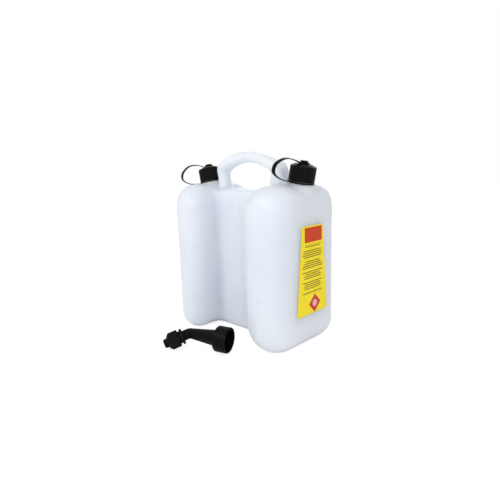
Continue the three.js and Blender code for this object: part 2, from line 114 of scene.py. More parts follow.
# Grip: side -1 is the leg by the small tank, and side 1 the one by the large tank
GRIP_TOP = 0.3425
GRIP_DEPTH = 0.020
GRIP_RADIUS = 0.125
GRIP_LEG_SPACING = 0.142
GRIP_LEG_DEPTH = 0.022
GRIP_CORNER_RADIUS = 0.016
GRIP_WIDTH_LEG = 0.027
GRIP_WIDTH_CORNER = 0.036
GRIP_WIDTH_TOP = 0.030
GRIP_FOOT_FLARE = 0.003
GRIP_FOOT_HEIGHT = 0.012
GRIP_ROOT = 0.034
GRIP_SQUARENESS = 2.7
GRIP_CORNER_Z = 0.318
GRIP_CORNER_REACH = 0.024
GRIP_CORNER_SCALE = {-1: 1.0, 1: 1.12}
GRIP_CORNER_SHIFT = {-1: -0.0035, 1: 0.0020}
GRIP_FOOT_SCALE = {-1: 0.86, 1: 1.32}
GRIP_FOOT_SHIFT = {-1: 0.0025, 1: 0.0035}
GRIP_CORNER_STEPS = 8
GRIP_ARCH_STEPS = 12
GRIP_SECTION_STEPS = 32

# Necks, caps and straps, along each neck's own axis from its seat; side -1 is the small tank's
NECK_X = 0.114
NECK_SEAT_Z = 0.286
NECK_TILT = 12
NECK_HEIGHT = 0.0236
NECK_RADIUS = 0.0184
BORE_RADIUS = 0.0158
SEAT_RADIUS = 0.0235
BOSS_RADIUS = 0.0255
BOSS_DEPTH = 0.012
BOSS_POLE_RADIUS = 0.0001
NECK_ROOT = 0.018
NECK_SUNK = 0.004
THREAD_PITCH = 0.007
THREAD_TURNS = 2.4
THREAD_HEIGHT = 0.0006
THREAD_CREST = 0.0005
THREAD_ROOT = 0.0012
THREAD_START = 0.005
THREAD_STEPS = 40
THREAD_FADE_STEPS = 8
CAP_RADIUS = 0.022
CAP_RIBS = 24
CAP_RIB_DEPTH = 0.0007
CAP_SKIRT_BOTTOM = 0.0029
CAP_INSIDE_RADIUS = 0.0194
CAP_INSIDE_TOP = 0.026
CAP_TOP = 0.0275
CAP_CHAMFER = 0.0085
CAP_CHAMFER_HEIGHT = 0.0035
CAP_EDGE_RADIUS = 0.0009
CAP_EDGE_STEPS = 4
CAP_POLE_RADIUS = 0.00005
CAP_RIB_START = 0.0015
CAP_RIB_MARGIN = 0.001
CAP_SIDE_STEPS = 14
CAP_LONG_EDGE = 0.015
KNOB_STEM_RADIUS = 0.0042
KNOB_HEAD_RADIUS = 0.0065
KNOB_HEAD_BOTTOM = 0.0340
KNOB_HEAD_HEIGHT = 0.0026
STRAP_THICKNESS = 0.0017
STRAP_WIDTH = 0.0085
STRAP_RING_RADIUS = 0.023
STRAP_EYE_RADIUS = 0.0092
STRAP_EYE_BOTTOM = 0.0313
STRAP_EYE_THICKNESS = 0.0024
STRAP_REACH = 0.064
STRAP_RISES = {-1: 0.009, 1: 0.006}
STRAP_LOOP_DROP = 0.021
STRAP_HEADINGS = {-1: 208, 1: 260}
STRAP_JOIN = 0.001
STRAP_CROWN_DIP = 0.001
STRAP_CROWN_SHARE = 0.4
STRAP_TURN_UPPER = (0.004, 0.009)
STRAP_TURN_LOWER = (0.002, -0.003)
STRAP_RETURN = (0.006, 0.006)
STRAP_FOOT = (0.008, 0.0014)
STRAP_STEPS = 10
STRAP_SECTION_STEPS = 16
STRAP_THICK_POWER = 0.5
STRAP_WIDE_POWER = 0.35
STRAP_EDGE_RADIUS = 0.0004
CLEARANCE = 0.0003

# Label print, as fields on the large tank's end: distances up from the floor and across in Y
LABEL_HEADER = (0.1885, 0.2135)
LABEL_HEADER_ACROSS = (-0.0215, 0.0262)
LABEL_ROWS = (0.0995, 0.1850)
LABEL_ROW_PITCH = 0.0036
LABEL_GROUP_PITCH = 0.0180
LABEL_ROW_HALF_WIDTH = 0.0290
LABEL_LOZENGE_Y = 0.0060
LABEL_LOZENGE_Z = 0.0810
LABEL_LOZENGE_HALF = 0.0165
LABEL_DOT_SHARE = 0.38
LABEL_ROW_RAGGEDNESS = 0.35
LABEL_ROW_STRIPE = (0.25, 0.72)
LABEL_GROUP_FILLED = 0.80

# Spout, in its own frame: the bend at the origin and the socket along +Z
SPOUT_BEND = Vector((-0.031, -0.1385, 0.0257))
SPOUT_HEADING = 21
SPOUT_SLOPE = 2.2
SPOUT_ROLL = 28.7
SPOUT_BEND_ANGLE = 43.4
SOCKET_RADIUS = 0.0225
SOCKET_BORE = 0.0194
SOCKET_DEPTH = 0.020
SOCKET_LENGTH = 0.023
SOCKET_CHAMFER = 0.005
SPOUT_LENGTH = 0.079
TUBE_WIDE_RADIUS = 0.014
TUBE_NARROW_RADIUS = 0.0093
TUBE_WALL = 0.0018
BEND_RADIUS = 0.012
FLANGE_START = 0.012
FLANGE_THICKNESS = 0.0045
FLANGE_RADIUS = 0.0142
BARREL_RADIUS = 0.0112
BARREL_END = 0.033
RING_START = 0.0202
RING_END = 0.0362
RING_RADIUS = 0.0154
RING_GROOVES = 16
RING_GROOVE_DEPTH = 0.0011
NOSE_END = 0.0406
NOSE_RADIUS = 0.0112
TIP_SEAT = 0.0333
TIP_FLANGE_END = 0.0353
TIP_RADIUS = 0.009
TIP_END_RADIUS = 0.0074
TIP_BORE = 0.0056
TIP_END = 0.048
SOCKET_ROOT_RISE = 0.001
PROFILE_STEP = 0.001
RING_GROOVE_MARGIN = 0.001
RING_SKIN = 0.002
TUBE_EDGE_RADIUS = 0.0014
TUBE_EDGE_STEPS = 4
BARREL_EDGE_RADIUS = 0.0008
RING_EDGE_RADIUS = 0.0009
TIP_EDGE_RADIUS = 0.0006
TUBE_SEGMENTS = 96
BEND_STEPS = 12
BEND_SEGMENTS = 48

# Materials: a pair holds the two ends that a noise runs between
NOISE_SPAN = (0.3, 0.7)
NOISE_DETAIL = 3.0
RELIEF_DETAIL = 2.0
PLASTIC_COLORS = ((0.725, 0.765, 0.83), (0.77, 0.805, 0.86))
PLASTIC_CLOUD_SCALE = 9.0
PLASTIC_CLOUD_DETAIL = 4.0
PLASTIC_ROUGHNESS = (0.27, 0.36)
PLASTIC_GLOSS_SCALE = 60.0
PLASTIC_SPECULAR = 0.35
PLASTIC_IOR = 1.5
PLASTIC_SCATTER = (1.0, 1.0, 1.1)
BODY_SCATTER_DEPTH = 0.03
NECK_SCATTER_DEPTH = 0.002
PLASTIC_WAVE = {"scale": 28.0, "strength": 0.25, "depth": 0.0015}
PLASTIC_PEEL = {"scale": 700.0, "strength": 0.12, "depth": 0.0002}
PLASTIC_SEAM = {"half_width": 0.0016, "strength": 0.7, "depth": 0.0009}
PLASTIC_PARTING = {"half_width": 0.0008, "strength": 0.45, "depth": 0.0005}
BLACK_ROUGHNESS = 0.34
BLACK_SHADE = 0.0035
RUBBER_ROUGHNESS = 0.70
RUBBER_SHADE = 0.005
BLACK_TINT = (1.0, 1.0, 1.12)
RUBBED_TINT = (1.0, 1.0, 1.1)
RUBBED_GAIN = 2.2
RUBBED_SPAN = (0.52, 0.64)
RUBBED_PATCH_SCALE = 90.0
RUBBED_PATCH_BASE = 0.5
BLACK_GLOSS_SCALE = 160.0
BLACK_ROUGHNESS_SWING = (-0.05, 0.08)
BLACK_SPECULAR = 0.08
BLACK_GRAIN = {"scale": 1400.0, "strength": 0.22, "depth": 0.0002}
FILM_YELLOWS = ((0.94, 0.74, 0.006), (0.99, 0.80, 0.010))
FILM_FADE_SCALE = 40.0
FILM_HEADER_RED = (0.62, 0.045, 0.002)
FILM_OLIVE = (0.22, 0.15, 0.012)
FILM_LOZENGE_RED = (0.60, 0.03, 0.03)
FILM_DOT_PINK = (0.85, 0.45, 0.42)
FILM_ROUGHNESS = 0.40
FILM_SPECULAR = 0.25
FILM_GRAIN = {"scale": 220.0, "strength": 0.08, "depth": 0.0003}

# Stage: the floor glows for the camera alone, and the rest of the scene sees a pale matt table
FLOOR_HALF = 6
FLOOR_COLOR = (0.97, 0.97, 0.97)
FLOOR_ROUGHNESS = 0.9
FLOOR_SPECULAR = 0.1
FLOOR_GLOW = 0.80
FLOOR_SHADED_COLOR = (0.42, 0.42, 0.42)
WORLD_LIGHT = 0.69
LAMP_AIM = Vector((0, 0, 0.15))
LAMPS = [
    {"name": "front", "place": (1.00, -1.35, 0.70), "size": 1.1, "power": 6},
    {"name": "key", "place": (-0.45, -1.25, 1.35), "size": 0.10, "power": 3.0},
    {"name": "second", "place": (0.10, -1.45, 1.30), "size": 0.10, "power": 2.5},
    {"name": "back", "place": (-0.80, 1.40, 0.90), "size": 1.2, "power": 7},
]


# Meshes
def add_object(name, verts, faces):
    """A mesh object in the scene."""
    mesh = bpy.data.meshes.new(name)
    mesh.from_pydata([tuple(v) for v in verts], [], faces)
    mesh.update()
    obj = bpy.data.objects.new(name, mesh)
    bpy.context.scene.collection.objects.link(obj)
    return obj


def skin_rings(rings):
    """Joins rings of points with the same count into one closed skin."""
    count = len(rings[0])
    verts = [point for ring in rings for point in ring]
    faces = []
    for level in range(len(rings) - 1):
        for i in range(count):
            a = level * count + i
            b = level * count + (i + 1) % count
            faces.append((a, b, b + count, a + count))
    faces.append(tuple(reversed(range(count))))
    faces.append(tuple(range((len(rings) - 1) * count, len(rings) * count)))
    return verts, faces


def rounded_profile(points, radius, steps=EDGE_STEPS):
    """Rounds the corners of an open profile of (radius, height) points by arcs that fit its edges."""
    out = [points[0]]
    for before, here, after in zip(points, points[1:], points[2:]):
        back = Vector(before) - Vector(here)
        ahead = Vector(after) - Vector(here)
        if back.length < NO_LENGTH or ahead.length < NO_LENGTH:
            continue
        reach = min(radius, back.length * EDGE_SHARE, ahead.length * EDGE_SHARE)
        start = Vector(here) + back.normalized() * reach
        end = Vector(here) + ahead.normalized() * reach
        for i in range(steps + 1):
            t = i / steps
            point = start * (1 - t) ** 2 + Vector(here) * (2 * t * (1 - t)) + end * t**2
            out.append((point.x, point.y))
    out.append(points[-1])
    return out


def turned(profile, segments=TURN_SEGMENTS, ribs=0, rib_depth=0.0, rib_span=(0, 0, 0)):
    """A skin of revolution about +Z.

    Ribs are cut where the height lies between the first two values of rib_span and the radius is
    greater than its third.
    """
    verts = []
    faces = []
    for index, (radius, height) in enumerate(profile):
        for i in range(segments):
            angle = 2 * math.pi * i / segments
            here = radius
            if ribs and rib_span[0] < height < rib_span[1] and radius > rib_span[2]:
                wave = 0.5 - 0.5 * math.cos(angle * ribs)
                here = radius - rib_depth * wave**RIB_SHARPNESS
            verts.append((here * math.cos(angle), here * math.sin(angle), height))
        if index:
            for i in range(segments):
                a = (index - 1) * segments + i
                b = (index - 1) * segments + (i + 1) % segments
                faces.append((a, b, b + segments, a + segments))
    return verts, faces


def turned_object(name, profile, matrix, **options):
    """A turned piece in place, whose profile runs round to its first point again."""
    verts, faces = turned(profile + profile[:1], **options)
    obj = add_object(name, verts, faces)
    obj.data.transform(matrix)
    weld(obj)
    return obj


def weld(obj):
    """Joins points that meet and turns every face out."""
    mesh = bmesh.new()
    mesh.from_mesh(obj.data)
    bmesh.ops.remove_doubles(mesh, verts=mesh.verts, dist=WELD_DISTANCE)
    bmesh.ops.dissolve_degenerate(mesh, edges=mesh.edges, dist=WELD_DISTANCE)
    bmesh.ops.recalc_face_normals(mesh, faces=mesh.faces)
    mesh.to_mesh(obj.data)
    mesh.free()


def merge(name, objects):
    """Puts several meshes into one object."""
    verts = []
    faces = []
    for obj in objects:
        base = len(verts)
        verts += [tuple(v.co) for v in obj.data.vertices]
        faces += [tuple(base + i for i in face.vertices) for face in obj.data.polygons]
        bpy.data.objects.remove(obj)
    return add_object(name, verts, faces)


def smooth_shading(obj, angle=SHARP_ANGLE):
    """Smooth faces, with edges sharper than the angle kept."""
    for face in obj.data.polygons:
        face.use_smooth = True
    obj.data.set_sharp_from_angle(angle=math.radians(angle))


def dress(node, material):
    """Gives a CAD piece that is shown as it is its material."""
    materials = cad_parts[node].data.materials
    materials.clear()
    materials.append(material)


def finish_piece(obj, material, body, node=None):
    """Gives a piece its material, hides the CAD piece that it stands for if one is named, and fixes it to
    its body if one is named.
    """
    obj.data.materials.clear()
    obj.data.materials.append(material)
    if node:
        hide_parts(node)
    if body:
        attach(obj, body)
    return obj


def squared(value, power):
    """A sine or cosine raised to a power with its sign kept, which squares a round section."""
    return math.copysign(abs(value) ** power, value)


# Can body
def inset_at(z, top, bottom_radius, top_radius):
    """How far a rounded wall stands in from its full size at a height."""
    if z < bottom_radius:
        return bottom_radius - math.sqrt(max(bottom_radius**2 - (bottom_radius - z) ** 2, 0))
    if z > top - top_radius:
        rise = z - (top - top_radius)
        return top_radius - math.sqrt(max(top_radius**2 - rise**2, 0))
    return 0


def levels(top, bottom_radius, top_radius):
    """Heights for the sections of a form, close together in its rounded ends."""
    heights = {0, top}
    for i in range(1, LEVEL_STEPS + 1):
        share = 1 - math.cos(math.pi / 2 * i / LEVEL_STEPS)
        heights.add(bottom_radius * share)
        heights.add(top - top_radius * share)
    return sorted(heights)


def arc(centre_x, centre_y, radius, start, end, steps):
    """Points on a circle from one angle to another."""
    points = []
    for i in range(steps + 1):
        angle = math.radians(start + (end - start) * i / steps)
        points.append((centre_x + radius * math.cos(angle), centre_y + radius * math.sin(angle)))
    return points


def tank_object(tank):
    """One tank: rounded sections whose side towards the web leans in more at the top and bottom."""
    rings = []
    for z in levels(HEIGHT, tank["inner_bottom"], tank["inner_top"]):
        inset = inset_at(z, HEIGHT, tank["bottom"], tank["top"])
        inner_inset = inset_at(z, HEIGHT, tank["inner_bottom"], tank["inner_top"])
        side_inset = inset_at(z, HEIGHT, tank["bottom"], tank["side_top"])
        half = tank["width"] / 2 - (inset + inner_inset) / 2
        centre = tank["centre"] - tank["inner"] * (inner_inset - inset) / 2
        radius = max(min(tank["plan"] - inset, half), LEAST_PLAN_RADIUS)
        x = half - radius
        y = DEPTH / 2 - side_inset - radius
        outline = []
        for corner_x, corner_y, start in ((x, y, 0), (-x, y, 90), (-x, -y, 180), (x, -y, 270)):
            outline += arc(centre + corner_x, corner_y, radius, start, start + 90, PLAN_STEPS)
        rings.append([(px, py, z) for px, py in outline])
    return add_object("tank", *skin_rings(rings))


def flank_x(tank, z):
    """Where a tank's wall that faces the web stands at a height."""
    inset = inset_at(z, HEIGHT, tank["inner_bottom"], tank["inner_top"])
    return tank["centre"] + tank["inner"] * (tank["width"] / 2 - inset)


def web_object():
    """The web, let into both tanks and widened by a fillet at each."""
    rings = []
    for z in levels(WEB_HEIGHT, WEB_BOTTOM_RADIUS, WEB_TOP_RADIUS):
        half = WEB_THICKNESS / 2 - inset_at(z, WEB_HEIGHT, WEB_BOTTOM_RADIUS, WEB_TOP_RADIUS)
        left = flank_x(SMALL_TANK, z)
        right = flank_x(LARGE_TANK, z)
        outer = half + WEB_FILLET
        front = [(left - WEB_OVERLAP, -outer)]
        front += arc(left + WEB_FILLET, -outer, WEB_FILLET, 180, 90, FILLET_STEPS)
        front += arc(right - WEB_FILLET, -outer, WEB_FILLET, 90, 0, FILLET_STEPS)
        front += [(right + WEB_OVERLAP, -outer)]
        back = [(x, -y) for x, y in reversed(front)]
        rings.append([(x, y, z) for x, y in front + back])
    return add_object("web", *skin_rings(rings))


def grip_stations():
    """The grip's sections: place, direction out of the arch, depth and width."""
    arc_z = GRIP_TOP - GRIP_DEPTH / 2 - GRIP_RADIUS
    leg_x = GRIP_LEG_SPACING / 2
    corner_x = leg_x - GRIP_CORNER_RADIUS
    corner_z = arc_z + math.sqrt((GRIP_RADIUS - GRIP_CORNER_RADIUS) ** 2 - corner_x**2)
    corner_angle = math.atan2(corner_z - arc_z, corner_x)
    foot_depth = GRIP_LEG_DEPTH + GRIP_FOOT_FLARE
    foot_width = GRIP_WIDTH_LEG + GRIP_FOOT_FLARE
    stations = [
        (leg_x, HEIGHT - GRIP_ROOT, 0, foot_depth, foot_width),
        (leg_x, HEIGHT, 0, foot_depth, foot_width),
        (leg_x, HEIGHT + GRIP_FOOT_HEIGHT, 0, GRIP_LEG_DEPTH, GRIP_WIDTH_LEG),
    ]
    for i in range(GRIP_CORNER_STEPS + 1):
        share = i / GRIP_CORNER_STEPS
        angle = corner_angle * share
        x = corner_x + GRIP_CORNER_RADIUS * math.cos(angle)
        z = corner_z + GRIP_CORNER_RADIUS * math.sin(angle)
        depth = GRIP_LEG_DEPTH + (GRIP_DEPTH - GRIP_LEG_DEPTH) * share
        width = GRIP_WIDTH_LEG + (GRIP_WIDTH_CORNER - GRIP_WIDTH_LEG) * share
        stations.append((x, z, angle, depth, width))
    for i in range(1, GRIP_ARCH_STEPS + 1):
        share = i / GRIP_ARCH_STEPS
        angle = corner_angle + (math.pi / 2 - corner_angle) * share
        x = GRIP_RADIUS * math.cos(angle)
        z = arc_z + GRIP_RADIUS * math.sin(angle)
        width = GRIP_WIDTH_CORNER + (GRIP_WIDTH_TOP - GRIP_WIDTH_CORNER) * share
        stations.append((x, z, angle, GRIP_DEPTH, width))
    mirrored = [(-x, z, math.pi - angle, depth, width) for x, z, angle, depth, width in stations[-2::-1]]
    return [leg_fitted(*station) for station in stations + mirrored]


def leg_fitted(x, z, angle, depth, width):
    """Makes one leg slimmer at its foot and the other broader, with fuller corners at the arch's ends."""
    side = 1 if x > 0 else -1
    foot = min(max((GRIP_CORNER_Z - z) / (GRIP_CORNER_Z - HEIGHT), 0), 1)
    corner = max(1 - abs(z - GRIP_CORNER_Z) / GRIP_CORNER_REACH, 0)
    scale = 1 + (GRIP_FOOT_SCALE[side] - 1) * foot + (GRIP_CORNER_SCALE[side] - 1) * corner
    shift = GRIP_FOOT_SHIFT[side] * foot + GRIP_CORNER_SHIFT[side] * corner
    return x + shift, z, angle, depth * scale, width * scale


def grip_object():
    """The arched grip, with a squared oval section."""
    power = 2 / GRIP_SQUARENESS
    rings = []
    for x, z, angle, depth, width in grip_stations():
        ring = []
        for i in range(GRIP_SECTION_STEPS):
            turn = 2 * math.pi * i / GRIP_SECTION_STEPS
            across = squared(math.cos(turn), power) * depth / 2
            along = squared(math.sin(turn), power) * width / 2
            ring.append((SEAM_X + x + across * math.cos(angle), along, z + across * math.sin(angle)))
        rings.append(ring)
    return add_object("grip", *skin_rings(rings))


def neck_matrix(side):
    """The frame of a neck: its seat, with +Z up along the tilted neck."""
    place = Matrix.Translation((side * NECK_X, 0, NECK_SEAT_Z))
    return place @ Matrix.Rotation(math.radians(side * NECK_TILT), 4, "Y")


def boss_object(side):
    """The swelling under a neck, from inside the tank up to the seat."""
    profile = [
        (BOSS_POLE_RADIUS, -NECK_ROOT),
        (BOSS_RADIUS, -NECK_ROOT),
        (BOSS_RADIUS, -BOSS_DEPTH),
        (SEAT_RADIUS, 0),
        (BOSS_POLE_RADIUS, 0),
    ]
    return turned_object("boss", profile, neck_matrix(side))


def skin_of(name, forms, smoothing):
    """Joins forms into one even skin and smooths it."""
    rough = merge(name + "_forms", forms)
    remesh = rough.modifiers.new("skin", "REMESH")
    remesh.mode = "VOXEL"
    remesh.voxel_size = SKIN_VOXEL
    remesh.adaptivity = 0
    relax = rough.modifiers.new("flow", "SMOOTH")
    relax.factor = SMOOTHING_FACTOR
    relax.iterations = smoothing
    graph = bpy.context.evaluated_depsgraph_get()
    mesh = bpy.data.meshes.new_from_object(rough.evaluated_get(graph))
    bpy.data.objects.remove(rough)
    skin = bpy.data.objects.new(name, mesh)
    bpy.context.scene.collection.objects.link(skin)
    return skin


def skinned_body(material):
    """The moulded can: its forms joined into one skin and smoothed, as plastic flows in a mould."""
    tanks = [tank_object(SMALL_TANK), tank_object(LARGE_TANK)]
    shell = skin_of("shell", tanks + [web_object()], SHELL_SMOOTHING)
    forms = [shell, grip_object(), boss_object(-1), boss_object(1)]
    body = skin_of("can_skin", forms, SKIN_SMOOTHING)
    for face in body.data.polygons:
        face.use_smooth = True
    return finish_piece(body, material, "can", "can_body")


def neck_object(side, name, material):
    """The neck's tube with its thread, which the cap hides at rest."""
    profile = [
        (BORE_RADIUS, -NECK_SUNK),
        (NECK_RADIUS, -NECK_SUNK),
        (NECK_RADIUS, NECK_HEIGHT),
        (BORE_RADIUS, NECK_HEIGHT),
    ]
    tube = turned_object(name + "_tube", profile, Matrix.Identity(4))
    count = int(THREAD_STEPS * THREAD_TURNS)
    rings = []
    for i in range(count + 1):
        angle = 2 * math.pi * i / THREAD_STEPS
        height = THREAD_START + THREAD_PITCH * i / THREAD_STEPS
        fade = min(1, i / THREAD_FADE_STEPS, (count - i) / THREAD_FADE_STEPS)
        out = NECK_RADIUS + THREAD_HEIGHT * fade
        root = NECK_RADIUS - THREAD_HEIGHT
        section = [(root, -THREAD_ROOT), (out, -THREAD_CREST), (out, THREAD_CREST), (root, THREAD_ROOT)]
        rings.append([(r * math.cos(angle), r * math.sin(angle), height + dz) for r, dz in section])
    thread = add_object(name + "_thread", *skin_rings(rings))
    neck = merge(name, [tube, thread])
    neck.data.transform(neck_matrix(side))
    weld(neck)
    smooth_shading(neck, NECK_SHARP_ANGLE)
    return finish_piece(neck, material, "can")


# Caps and straps
def cap_object(side, prefix, material):
    """A screw cap with its knob. Its long side is cut into steps, which carry the ribs."""
    outside = rounded_profile(
        [
            (CAP_INSIDE_RADIUS, CAP_SKIRT_BOTTOM),
            (CAP_RADIUS, CAP_SKIRT_BOTTOM),
            (CAP_RADIUS, CAP_TOP),
            (CAP_RADIUS - CAP_CHAMFER, CAP_TOP + CAP_CHAMFER_HEIGHT),
            (KNOB_STEM_RADIUS, CAP_TOP + CAP_CHAMFER_HEIGHT),
            (KNOB_STEM_RADIUS, KNOB_HEAD_BOTTOM),
            (KNOB_HEAD_RADIUS, KNOB_HEAD_BOTTOM),
            (KNOB_HEAD_RADIUS, KNOB_HEAD_BOTTOM + KNOB_HEAD_HEIGHT),
            (CAP_POLE_RADIUS, KNOB_HEAD_BOTTOM + KNOB_HEAD_HEIGHT),
        ],
        CAP_EDGE_RADIUS,
        CAP_EDGE_STEPS,
    )
    inside = [(CAP_POLE_RADIUS, CAP_INSIDE_TOP), (CAP_INSIDE_RADIUS, CAP_INSIDE_TOP)]
    ribbed = []
    for point, after in zip(outside, outside[1:]):
        ribbed.append(point)
        if after[1] - point[1] > CAP_LONG_EDGE:
            for i in range(1, CAP_SIDE_STEPS):
                share = i / CAP_SIDE_STEPS
                ribbed.append((point[0], point[1] + (after[1] - point[1]) * share))
    ribbed.append(outside[-1])
    cap = turned_object(
        prefix + "_cap_body",
        ribbed + inside,
        neck_matrix(side),
        segments=CAP_RIBS * RIB_SEGMENTS,
        ribs=CAP_RIBS,
        rib_depth=CAP_RIB_DEPTH,
        rib_span=(
            CAP_SKIRT_BOTTOM + CAP_RIB_START,
            CAP_TOP - CAP_RIB_MARGIN,
            CAP_INSIDE_RADIUS + CAP_RIB_MARGIN,
        ),
    )
    smooth_shading(cap)
    return finish_piece(cap, material, prefix.split("_")[0] + "_cap", prefix + "_cap")


def strap_curve(rise):
    """Points of the strap's middle line in the plane of the neck's axis, from the eye to the neck ring."""
    eye_z = STRAP_EYE_BOTTOM + STRAP_EYE_THICKNESS / 2
    ring_z = CLEARANCE + STRAP_THICKNESS / 2
    loop_x = STRAP_REACH - STRAP_LOOP_DROP
    top_z = eye_z + rise
    middle_z = (top_z + ring_z) / 2
    knots = [
        (STRAP_EYE_RADIUS - STRAP_JOIN, eye_z),
        (STRAP_REACH * STRAP_CROWN_SHARE, top_z - STRAP_CROWN_DIP),
        (loop_x, top_z),
        (STRAP_REACH - STRAP_TURN_UPPER[0], middle_z + STRAP_TURN_UPPER[1]),
        (STRAP_REACH - STRAP_TURN_LOWER[0], middle_z + STRAP_TURN_LOWER[1]),
        (loop_x + STRAP_RETURN[0], ring_z + STRAP_RETURN[1]),
        (STRAP_RING_RADIUS + STRAP_FOOT[0], ring_z + STRAP_FOOT[1]),
        (STRAP_RING_RADIUS - STRAP_JOIN, ring_z + CLEARANCE),
    ]
    return centripetal_curve([Vector((x, 0, z)) for x, z in knots], STRAP_STEPS)


def centripetal_curve(knots, steps):
    """A centripetal Catmull-Rom curve through the knots."""
    points = [knots[0] * 2 - knots[1]] + knots + [knots[-1] * 2 - knots[-2]]
    out = []
    for p0, p1, p2, p3 in zip(points, points[1:], points[2:], points[3:]):
        t1 = (p1 - p0).length ** 0.5
        t2 = t1 + (p2 - p1).length ** 0.5
        t3 = t2 + (p3 - p2).length ** 0.5
        for i in range(steps):
            t = t1 + (t2 - t1) * i / steps
            a1 = p0 * ((t1 - t) / t1) + p1 * (t / t1)
            a2 = p1 * ((t2 - t) / (t2 - t1)) + p2 * ((t - t1) / (t2 - t1))
            a3 = p2 * ((t3 - t) / (t3 - t2)) + p3 * ((t - t2) / (t3 - t2))
            b1 = a1 * ((t2 - t) / t2) + a2 * (t / t2)
            b2 = a2 * ((t3 - t) / (t3 - t1)) + a3 * ((t - t1) / (t3 - t1))
            out.append(b1 * ((t2 - t) / (t2 - t1)) + b2 * ((t - t1) / (t2 - t1)))
    out.append(knots[-1])
    return out


def ring_object(name, inner, outer, low, high):
    """A flat ring round the neck's axis, in the neck's own frame."""
    box = [(inner, (low + high) / 2), (inner, low), (outer, low), (outer, high), (inner, high)]
    profile = rounded_profile(box + box[:1], STRAP_EDGE_RADIUS)[:-1]
    return turned_object(name, profile, Matrix.Identity(4))


def band_object(rise):
    """The strap's band along +X of the neck's own frame."""
    line = strap_curve(rise)
    rings = []
    for i, at in enumerate(line):
        ahead = line[min(i + 1, len(line) - 1)] - line[max(i - 1, 0)]
        ahead.normalize()
        out = Vector((ahead.z, 0, -ahead.x))
        ring = []
        for step in range(STRAP_SECTION_STEPS):
            angle = 2 * math.pi * step / STRAP_SECTION_STEPS
            thick = squared(math.cos(angle), STRAP_THICK_POWER) * STRAP_THICKNESS / 2
            wide = squared(math.sin(angle), STRAP_WIDE_POWER) * STRAP_WIDTH / 2
            ring.append(at + out * thick + Vector((0, wide, 0)))
        rings.append(ring)
    return add_object("band", *skin_rings(rings))


def strap_object(side, prefix, material):
    """A cap's tether: a band from the neck ring to the eye round the cap's knob."""
    band = band_object(STRAP_RISES[side])
    neck_hole = NECK_RADIUS + CLEARANCE
    ring_top = CLEARANCE + STRAP_THICKNESS
    neck_ring = ring_object("neck_ring", neck_hole, STRAP_RING_RADIUS, CLEARANCE, ring_top)
    eye_hole = KNOB_STEM_RADIUS + CLEARANCE
    eye_top = STRAP_EYE_BOTTOM + STRAP_EYE_THICKNESS
    eye = ring_object("eye", eye_hole, STRAP_EYE_RADIUS, STRAP_EYE_BOTTOM, eye_top)
    strap = merge(prefix + "_strap_band", [band, neck_ring, eye])
    heading = Matrix.Rotation(math.radians(STRAP_HEADINGS[side]), 4, "Z")
    strap.data.transform(neck_matrix(side) @ heading)
    weld(strap)
    smooth_shading(strap)
    finish_piece(strap, material, None, prefix + "_strap")
    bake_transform(strap)
    return strap


# Spout
def spout_matrices():
    """The frames of the spout's main tube and of its tip, each with +Z along the tube."""
    place = Matrix.Translation(SPOUT_BEND)
    heading = Matrix.Rotation(math.radians(SPOUT_HEADING), 4, "Z")
    slope = Matrix.Rotation(math.radians(SPOUT_SLOPE), 4, "Y")
    roll = Matrix.Rotation(math.radians(SPOUT_ROLL), 4, "X")
    base = place @ heading @ slope @ roll
    along_x = Matrix.Rotation(math.radians(90), 4, "Y")
    tip_turn = Matrix.Rotation(math.radians(180 + SPOUT_BEND_ANGLE), 4, "Z")
    return base @ along_x, base @ tip_turn @ along_x


def bend_object():
    """The rounded elbow between the tapered tube and the barrel, and how far it reaches along each."""
    main, tip = spout_matrices()
    reach = BEND_RADIUS * math.tan(math.radians(SPOUT_BEND_ANGLE / 2))
    start = main @ Vector((0, 0, reach))
    corner = main @ Vector((0, 0, 0))
    end = tip @ Vector((0, 0, reach))
    side = (start - corner).cross(end - corner).normalized()
    rings = []
    for i in range(BEND_STEPS + 1):
        t = i / BEND_STEPS
        at = start * (1 - t) ** 2 + corner * (2 * t * (1 - t)) + end * t**2
        ahead = ((corner - start) * (1 - t) + (end - corner) * t).normalized()
        up = side.cross(ahead)
        ring = []
        for k in range(BEND_SEGMENTS):
            angle = 2 * math.pi * k / BEND_SEGMENTS
            ring.append(at + (side * math.cos(angle) + up * math.sin(angle)) * TUBE_NARROW_RADIUS)
        rings.append(ring)
    return add_object("elbow", *skin_rings(rings)), reach


